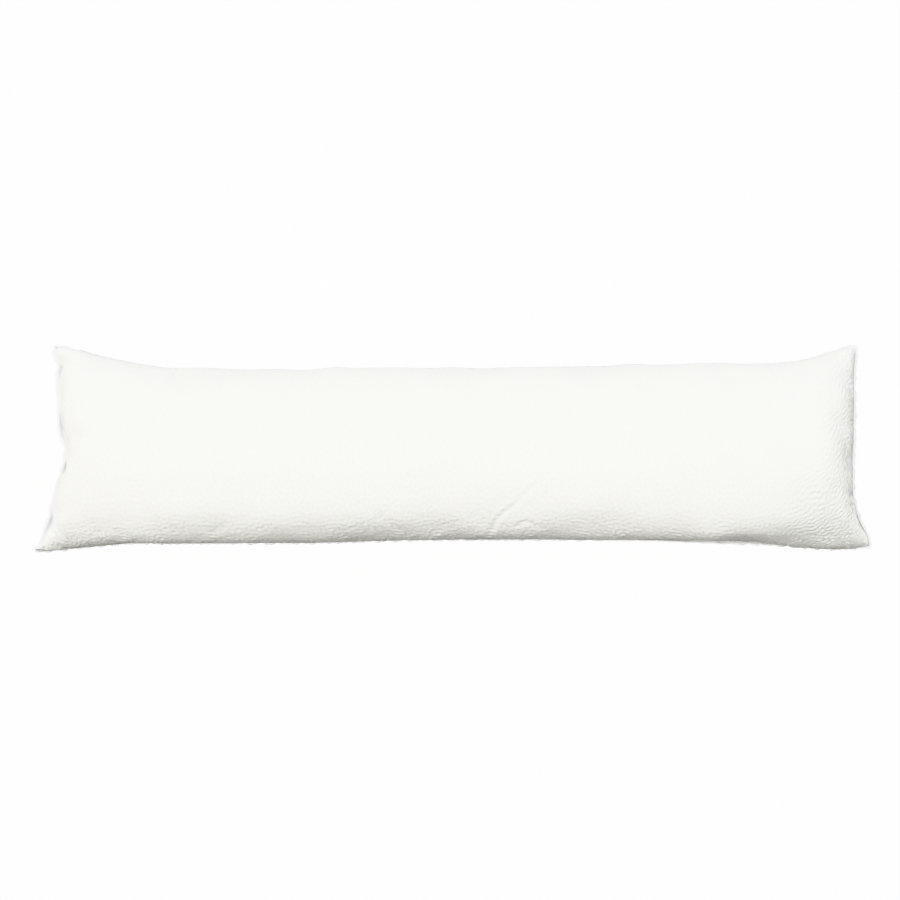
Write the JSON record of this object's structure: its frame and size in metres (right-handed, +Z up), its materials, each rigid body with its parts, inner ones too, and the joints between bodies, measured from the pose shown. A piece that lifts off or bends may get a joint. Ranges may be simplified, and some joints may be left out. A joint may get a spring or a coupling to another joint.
{
  "type": "long body pillow",
  "caption": "Long, slim, plump body pillow in a white knitted cover, lying on its back, with drawn-in ends and soft pointed ears, filled with shredded foam.",
  "frame": {"origin": "on the floor, under the middle of the pillow's box", "axes": "+X along the pillow to its right end, +Y across it to its far side, +Z up out of its face"},
  "size_m": [1.356, 0.327, 0.2224],
  "materials": {
    "cover_knit": "matte"
  },
  "bodies": {
    "root": {"pillow": "cover_knit"}
  },
  "joints": []
}
